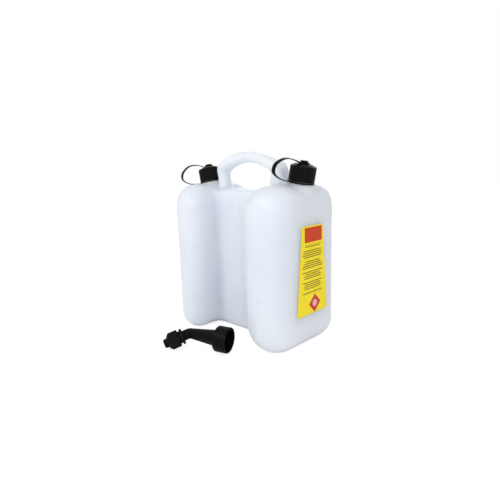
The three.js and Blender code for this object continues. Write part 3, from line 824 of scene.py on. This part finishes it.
def spout_tube_object(main, tip, material):
    """Socket, tapered tube, elbow, flange and barrel, which are one piece."""
    elbow, reach = bend_object()
    socket_start = SPOUT_LENGTH - SOCKET_LENGTH
    tube_profile = rounded_profile(
        [
            (TUBE_NARROW_RADIUS - TUBE_WALL, reach),
            (TUBE_NARROW_RADIUS, reach),
            (TUBE_WIDE_RADIUS, socket_start - SOCKET_CHAMFER),
            (SOCKET_RADIUS, socket_start + SOCKET_ROOT_RISE),
            (SOCKET_RADIUS, SPOUT_LENGTH),
            (SOCKET_BORE, SPOUT_LENGTH),
            (SOCKET_BORE, SPOUT_LENGTH - SOCKET_DEPTH),
            (TUBE_WIDE_RADIUS - TUBE_WALL, SPOUT_LENGTH - SOCKET_DEPTH),
            (TUBE_NARROW_RADIUS - TUBE_WALL, reach + PROFILE_STEP),
        ],
        TUBE_EDGE_RADIUS,
        TUBE_EDGE_STEPS,
    )
    tube = turned_object("tube", tube_profile, main, segments=TUBE_SEGMENTS)
    barrel_profile = rounded_profile(
        [
            (TUBE_NARROW_RADIUS - TUBE_WALL, reach),
            (TUBE_NARROW_RADIUS, reach),
            (TUBE_NARROW_RADIUS, FLANGE_START),
            (FLANGE_RADIUS, FLANGE_START),
            (FLANGE_RADIUS, FLANGE_START + FLANGE_THICKNESS),
            (BARREL_RADIUS, FLANGE_START + FLANGE_THICKNESS),
            (BARREL_RADIUS, BARREL_END),
            (TUBE_NARROW_RADIUS - TUBE_WALL, BARREL_END),
        ],
        BARREL_EDGE_RADIUS,
    )
    barrel = turned_object("barrel", barrel_profile, tip, segments=TUBE_SEGMENTS)
    body = merge("spout_body", [elbow, tube, barrel])
    weld(body)
    smooth_shading(body)
    finish_piece(body, material, "can", "spout_tube")


def spout_ring_object(tip, material):
    """The grooved ring that turns on the barrel, with its bevelled nose round the nozzle."""
    profile = rounded_profile(
        [
            (BARREL_RADIUS + CLEARANCE, RING_START),
            (RING_RADIUS, RING_START),
            (RING_RADIUS, (RING_START + RING_END) / 2),
            (RING_RADIUS, RING_END),
            (NOSE_RADIUS, NOSE_END),
            (TIP_RADIUS + CLEARANCE, NOSE_END),
            (TIP_RADIUS + CLEARANCE, TIP_FLANGE_END + CLEARANCE),
            (BARREL_RADIUS + CLEARANCE, TIP_FLANGE_END + CLEARANCE),
        ],
        RING_EDGE_RADIUS,
    )
    ring = turned_object(
        "spout_grip_ring",
        profile,
        tip,
        segments=RING_GROOVES * RIB_SEGMENTS,
        ribs=RING_GROOVES,
        rib_depth=RING_GROOVE_DEPTH,
        rib_span=(
            RING_START - RING_GROOVE_MARGIN,
            RING_END + RING_GROOVE_MARGIN,
            BARREL_RADIUS + RING_SKIN,
        ),
    )
    smooth_shading(ring)
    finish_piece(ring, material, "spout_twist", "spout_ring")


def spout_tip_object(tip, material):
    """The nozzle, whose foot the ring holds on the barrel's end."""
    profile = rounded_profile(
        [
            (TIP_BORE, TIP_SEAT),
            (BARREL_RADIUS, TIP_SEAT),
            (BARREL_RADIUS, TIP_FLANGE_END),
            (TIP_RADIUS, TIP_FLANGE_END),
            (TIP_RADIUS, NOSE_END),
            (TIP_END_RADIUS, TIP_END),
            (TIP_BORE, TIP_END),
            (TIP_BORE, TIP_SEAT + PROFILE_STEP),
        ],
        TIP_EDGE_RADIUS,
    )
    nozzle = turned_object("spout_nozzle", profile, tip)
    smooth_shading(nozzle)
    finish_piece(nozzle, material, "can", "spout_tip")


def spout_objects(black, rubber):
    """The spout's four pieces; its gasket is the CAD's own."""
    main, tip = spout_matrices()
    spout_tube_object(main, tip, black)
    spout_ring_object(tip, black)
    spout_tip_object(tip, black)
    dress("spout_gasket", rubber)


# Looks
def new_material(name):
    material = bpy.data.materials.new(name)
    material.use_nodes = True
    nodes = material.node_tree.nodes
    return material, nodes, material.node_tree.links, nodes["Principled BSDF"]


def math_node(nodes, links, operation, first, second=None):
    """One step of arithmetic on numbers or sockets."""
    node = nodes.new("ShaderNodeMath")
    node.operation = operation
    for socket, value in zip(node.inputs, (first, second)):
        if value is None:
            continue
        if isinstance(value, (int, float)):
            socket.default_value = value
        else:
            links.new(value, socket)
    return node.outputs[0]


def position_axes(nodes, links):
    """The place on the surface in the can's own frame, as one vector and as its X, Y and Z."""
    coords = nodes.new("ShaderNodeTexCoord")
    split = nodes.new("ShaderNodeSeparateXYZ")
    links.new(coords.outputs["Object"], split.inputs[0])
    return coords.outputs["Object"], split.outputs


def noise(nodes, links, coords, scale, detail=NOISE_DETAIL):
    node = nodes.new("ShaderNodeTexNoise")
    node.inputs["Scale"].default_value = scale
    node.inputs["Detail"].default_value = detail
    links.new(coords, node.inputs["Vector"])
    return node.outputs["Fac"]


def ramp(nodes, links, factor, colors, span=NOISE_SPAN):
    """Runs from one colour to the other while the factor runs through the span."""
    node = nodes.new("ShaderNodeValToRGB")
    for element, position, color in zip(node.color_ramp.elements, span, colors):
        element.position = position
        element.color = (*color, 1)
    links.new(factor, node.inputs[0])
    return node.outputs[0]


def grey_ramp(nodes, links, factor, values):
    """The same between two plain values."""
    return ramp(nodes, links, factor, [(value,) * 3 for value in values])


def bump(nodes, links, height, strength, distance, under=None):
    node = nodes.new("ShaderNodeBump")
    node.inputs["Strength"].default_value = strength
    node.inputs["Distance"].default_value = distance
    links.new(height, node.inputs["Height"])
    if under is not None:
        links.new(under, node.inputs["Normal"])
    return node.outputs[0]


def grain_bump(nodes, links, coords, grain, detail=RELIEF_DETAIL, under=None):
    """Bumps from a noise."""
    height = noise(nodes, links, coords, grain["scale"], detail)
    return bump(nodes, links, height, grain["strength"], grain["depth"], under)


def line_bump(nodes, links, axis, centre, line, under):
    """A ridge along one plane, which falls to nothing within the line's half width."""
    away = math_node(nodes, links, "ABSOLUTE", math_node(nodes, links, "SUBTRACT", axis, centre))
    near = math_node(nodes, links, "DIVIDE", away, line["half_width"])
    fall = math_node(nodes, links, "SUBTRACT", 1.0, near)
    height = math_node(nodes, links, "MAXIMUM", fall, 0.0)
    return bump(nodes, links, height, line["strength"], line["depth"], under)


def natural_plastic(name, depth):
    """Milky blow-moulded polyethylene: light goes a little way in, and the skin waves slightly."""
    material, nodes, links, shader = new_material(name)
    coords, axes = position_axes(nodes, links)
    cloud = noise(nodes, links, coords, PLASTIC_CLOUD_SCALE, PLASTIC_CLOUD_DETAIL)
    links.new(ramp(nodes, links, cloud, PLASTIC_COLORS), shader.inputs["Base Color"])
    gloss = noise(nodes, links, coords, PLASTIC_GLOSS_SCALE)
    links.new(grey_ramp(nodes, links, gloss, PLASTIC_ROUGHNESS), shader.inputs["Roughness"])
    shader.inputs["Subsurface Weight"].default_value = 1.0
    shader.inputs["Subsurface Radius"].default_value = PLASTIC_SCATTER
    shader.inputs["Subsurface Scale"].default_value = depth
    shader.inputs["Specular IOR Level"].default_value = PLASTIC_SPECULAR
    shader.inputs["IOR"].default_value = PLASTIC_IOR
    wave = grain_bump(nodes, links, coords, PLASTIC_WAVE)
    peel = grain_bump(nodes, links, coords, PLASTIC_PEEL, under=wave)
    seam = line_bump(nodes, links, axes[0], SEAM_X, PLASTIC_SEAM, peel)
    parting = line_bump(nodes, links, axes[1], 0.0, PLASTIC_PARTING, seam)
    links.new(parting, shader.inputs["Normal"])
    return material


def moulded_black(name, roughness, shade):
    """Black moulded plastic or rubber with a fine grain, paler where edges are rubbed."""
    material, nodes, links, shader = new_material(name)
    coords = position_axes(nodes, links)[0]
    edges = nodes.new("ShaderNodeNewGeometry").outputs["Pointiness"]
    patches = noise(nodes, links, coords, RUBBED_PATCH_SCALE)
    patches = math_node(nodes, links, "ADD", patches, RUBBED_PATCH_BASE)
    rubbed = math_node(nodes, links, "MULTIPLY", edges, patches)
    dark = tuple(shade * c for c in BLACK_TINT)
    pale = tuple(shade * c * RUBBED_GAIN for c in RUBBED_TINT)
    links.new(ramp(nodes, links, rubbed, (dark, pale), RUBBED_SPAN), shader.inputs["Base Color"])
    gloss = noise(nodes, links, coords, BLACK_GLOSS_SCALE)
    range_of_gloss = [roughness + swing for swing in BLACK_ROUGHNESS_SWING]
    links.new(grey_ramp(nodes, links, gloss, range_of_gloss), shader.inputs["Roughness"])
    shader.inputs["Specular IOR Level"].default_value = BLACK_SPECULAR
    links.new(grain_bump(nodes, links, coords, BLACK_GRAIN), shader.inputs["Normal"])
    return material


def between(nodes, links, value, low, high):
    """1 where low < value < high, and 0 elsewhere."""
    above = math_node(nodes, links, "GREATER_THAN", value, low)
    below = math_node(nodes, links, "LESS_THAN", value, high)
    return math_node(nodes, links, "MULTIPLY", above, below)


def paint(nodes, links, base, mask, color):
    """Covers the colour below with another where the mask is 1."""
    node = nodes.new("ShaderNodeMix")
    node.data_type = "RGBA"
    links.new(mask, node.inputs["Factor"])
    links.new(base, node.inputs["A"])
    node.inputs["B"].default_value = (*color, 1)
    return node.outputs["Result"]


def printed_rows(nodes, links, y, z):
    """Short bars in rows and groups, in the place of print."""
    row = math_node(nodes, links, "FLOOR", math_node(nodes, links, "DIVIDE", z, LABEL_ROW_PITCH))
    in_row = math_node(nodes, links, "FRACT", math_node(nodes, links, "DIVIDE", z, LABEL_ROW_PITCH))
    in_group = math_node(nodes, links, "FRACT", math_node(nodes, links, "DIVIDE", z, LABEL_GROUP_PITCH))
    seed = nodes.new("ShaderNodeTexWhiteNoise")
    seed.noise_dimensions = "1D"
    links.new(row, seed.inputs["W"])
    reach = math_node(nodes, links, "MULTIPLY", seed.outputs["Value"], LABEL_ROW_RAGGEDNESS)
    reach = math_node(nodes, links, "SUBTRACT", 1.0, reach)
    half = math_node(nodes, links, "MULTIPLY", reach, LABEL_ROW_HALF_WIDTH)
    inside = math_node(nodes, links, "LESS_THAN", math_node(nodes, links, "ABSOLUTE", y), half)
    stripe = between(nodes, links, in_row, *LABEL_ROW_STRIPE)
    group = math_node(nodes, links, "LESS_THAN", in_group, LABEL_GROUP_FILLED)
    block = between(nodes, links, z, *LABEL_ROWS)
    rows = math_node(nodes, links, "MULTIPLY", math_node(nodes, links, "MULTIPLY", inside, stripe), group)
    return math_node(nodes, links, "MULTIPLY", rows, block)


def label_film():
    """Yellow film with a red head field, rows of olive bars and a red lozenge with a pale middle."""
    material, nodes, links, shader = new_material("label_film_print")
    coords, axes = position_axes(nodes, links)
    y = axes[1]
    z = axes[2]
    fade = noise(nodes, links, coords, FILM_FADE_SCALE)
    color = ramp(nodes, links, fade, FILM_YELLOWS)
    head_up = between(nodes, links, z, *LABEL_HEADER)
    head_across = between(nodes, links, y, *LABEL_HEADER_ACROSS)
    head = math_node(nodes, links, "MULTIPLY", head_up, head_across)
    color = paint(nodes, links, color, head, FILM_HEADER_RED)
    color = paint(nodes, links, color, printed_rows(nodes, links, y, z), FILM_OLIVE)
    up = math_node(nodes, links, "ABSOLUTE", math_node(nodes, links, "SUBTRACT", z, LABEL_LOZENGE_Z))
    away = math_node(nodes, links, "ABSOLUTE", math_node(nodes, links, "SUBTRACT", y, LABEL_LOZENGE_Y))
    span = math_node(nodes, links, "ADD", up, away)
    lozenge = math_node(nodes, links, "LESS_THAN", span, LABEL_LOZENGE_HALF)
    color = paint(nodes, links, color, lozenge, FILM_LOZENGE_RED)
    up_squared = math_node(nodes, links, "POWER", up, 2.0)
    away_squared = math_node(nodes, links, "POWER", away, 2.0)
    from_middle = math_node(nodes, links, "ADD", up_squared, away_squared)
    dot_radius = LABEL_LOZENGE_HALF * LABEL_DOT_SHARE
    dot = math_node(nodes, links, "LESS_THAN", from_middle, dot_radius**2)
    color = paint(nodes, links, color, dot, FILM_DOT_PINK)
    links.new(color, shader.inputs["Base Color"])
    shader.inputs["Roughness"].default_value = FILM_ROUGHNESS
    shader.inputs["Specular IOR Level"].default_value = FILM_SPECULAR
    links.new(grain_bump(nodes, links, coords, FILM_GRAIN, NOISE_DETAIL), shader.inputs["Normal"])
    return material


# Floor, world, lamps and camera
def lay_floor():
    """A matt floor, which the camera alone sees as a shaded glow that ends in plain white."""
    half = FLOOR_HALF
    corners = [(-half, -half, 0), (half, -half, 0), (half, half, 0), (-half, half, 0)]
    floor = add_object("floor", corners, [(0, 1, 2, 3)])
    material, nodes, links, shader = new_material("floor")
    shader.inputs["Base Color"].default_value = (*FLOOR_COLOR, 1)
    shader.inputs["Roughness"].default_value = FLOOR_ROUGHNESS
    shader.inputs["Specular IOR Level"].default_value = FLOOR_SPECULAR
    glow = nodes.new("ShaderNodeEmission")
    glow.inputs["Strength"].default_value = FLOOR_GLOW
    shaded = nodes.new("ShaderNodeBsdfDiffuse")
    shaded.inputs["Color"].default_value = (*FLOOR_SHADED_COLOR, 1)
    add = nodes.new("ShaderNodeAddShader")
    links.new(glow.outputs[0], add.inputs[0])
    links.new(shaded.outputs[0], add.inputs[1])
    path = nodes.new("ShaderNodeLightPath")
    mix = nodes.new("ShaderNodeMixShader")
    links.new(path.outputs["Is Camera Ray"], mix.inputs[0])
    links.new(shader.outputs[0], mix.inputs[1])
    links.new(add.outputs[0], mix.inputs[2])
    links.new(mix.outputs[0], nodes["Material Output"].inputs["Surface"])
    floor.data.materials.append(material)


def light_world():
    """A plain world, white to the camera and dimmer as a light."""
    world = bpy.data.worlds.new("studio")
    bpy.context.scene.world = world
    world.use_nodes = True
    nodes = world.node_tree.nodes
    links = world.node_tree.links
    rays = nodes.new("ShaderNodeLightPath").outputs
    seen = math_node(nodes, links, "ADD", rays["Is Camera Ray"], rays["Is Transmission Ray"])
    seen = math_node(nodes, links, "MINIMUM", seen, 1.0)
    strength = math_node(nodes, links, "MULTIPLY", seen, 1 - WORLD_LIGHT)
    strength = math_node(nodes, links, "ADD", strength, WORLD_LIGHT)
    links.new(strength, nodes["Background"].inputs["Strength"])
    nodes["Background"].inputs["Color"].default_value = (1, 1, 1, 1)


def hang_lamps():
    """Round lamps that all look at one point on the can."""
    for spec in LAMPS:
        light = bpy.data.lights.new(spec["name"], "AREA")
        light.shape = "DISK"
        light.size = spec["size"]
        light.energy = spec["power"]
        lamp = bpy.data.objects.new(spec["name"], light)
        lamp.location = spec["place"]
        aim = LAMP_AIM - Vector(spec["place"])
        lamp.rotation_euler = aim.to_track_quat("-Z", "Y").to_euler()
        bpy.context.scene.collection.objects.link(lamp)


def add_camera():
    """Looks at the target from an azimuth and elevation, then rolls and slides to the photograph."""
    azimuth = math.radians(CAMERA_AZIMUTH)
    elevation = math.radians(CAMERA_ELEVATION)
    flat = math.cos(elevation)
    back = Vector((math.sin(azimuth) * flat, -math.cos(azimuth) * flat, math.sin(elevation)))
    level = (-back).cross(Vector((0, 0, 1))).normalized()
    upright = level.cross(-back)
    roll = math.radians(CAMERA_ROLL)
    right = level * math.cos(roll) + upright * math.sin(roll)
    up = upright * math.cos(roll) - level * math.sin(roll)
    place = CAMERA_TARGET + back * CAMERA_DISTANCE + right * CAMERA_SLIDE_RIGHT + up * CAMERA_SLIDE_UP
    data = bpy.data.cameras.new("camera")
    data.lens = LENS
    data.sensor_width = SENSOR_WIDTH
    data.sensor_fit = "HORIZONTAL"
    camera = bpy.data.objects.new("camera", data)
    turn = Matrix((right, up, back)).transposed().to_4x4()
    camera.matrix_world = Matrix.Translation(place) @ turn
    bpy.context.scene.collection.objects.link(camera)
    bpy.context.scene.camera = camera


add_camera()
lay_floor()
light_world()
hang_lamps()
milky = natural_plastic("natural_polyethylene", BODY_SCATTER_DEPTH)
milky_neck = natural_plastic("natural_polyethylene_neck", NECK_SCATTER_DEPTH)
black = moulded_black("black_moulded", BLACK_ROUGHNESS, BLACK_SHADE)
rubber = moulded_black("black_seal", RUBBER_ROUGHNESS, RUBBER_SHADE)

skinned_body(milky)
dress("label", label_film())
for side, prefix in ((-1, "small_tank"), (1, "large_tank")):
    neck_object(side, prefix + "_neck", milky_neck)
    cap_object(side, prefix, black)
    strap_object(side, prefix, black)
    dress(prefix + "_gasket", rubber)
spout_objects(black, rubber)

bpy.context.scene.view_settings.view_transform = "Standard"
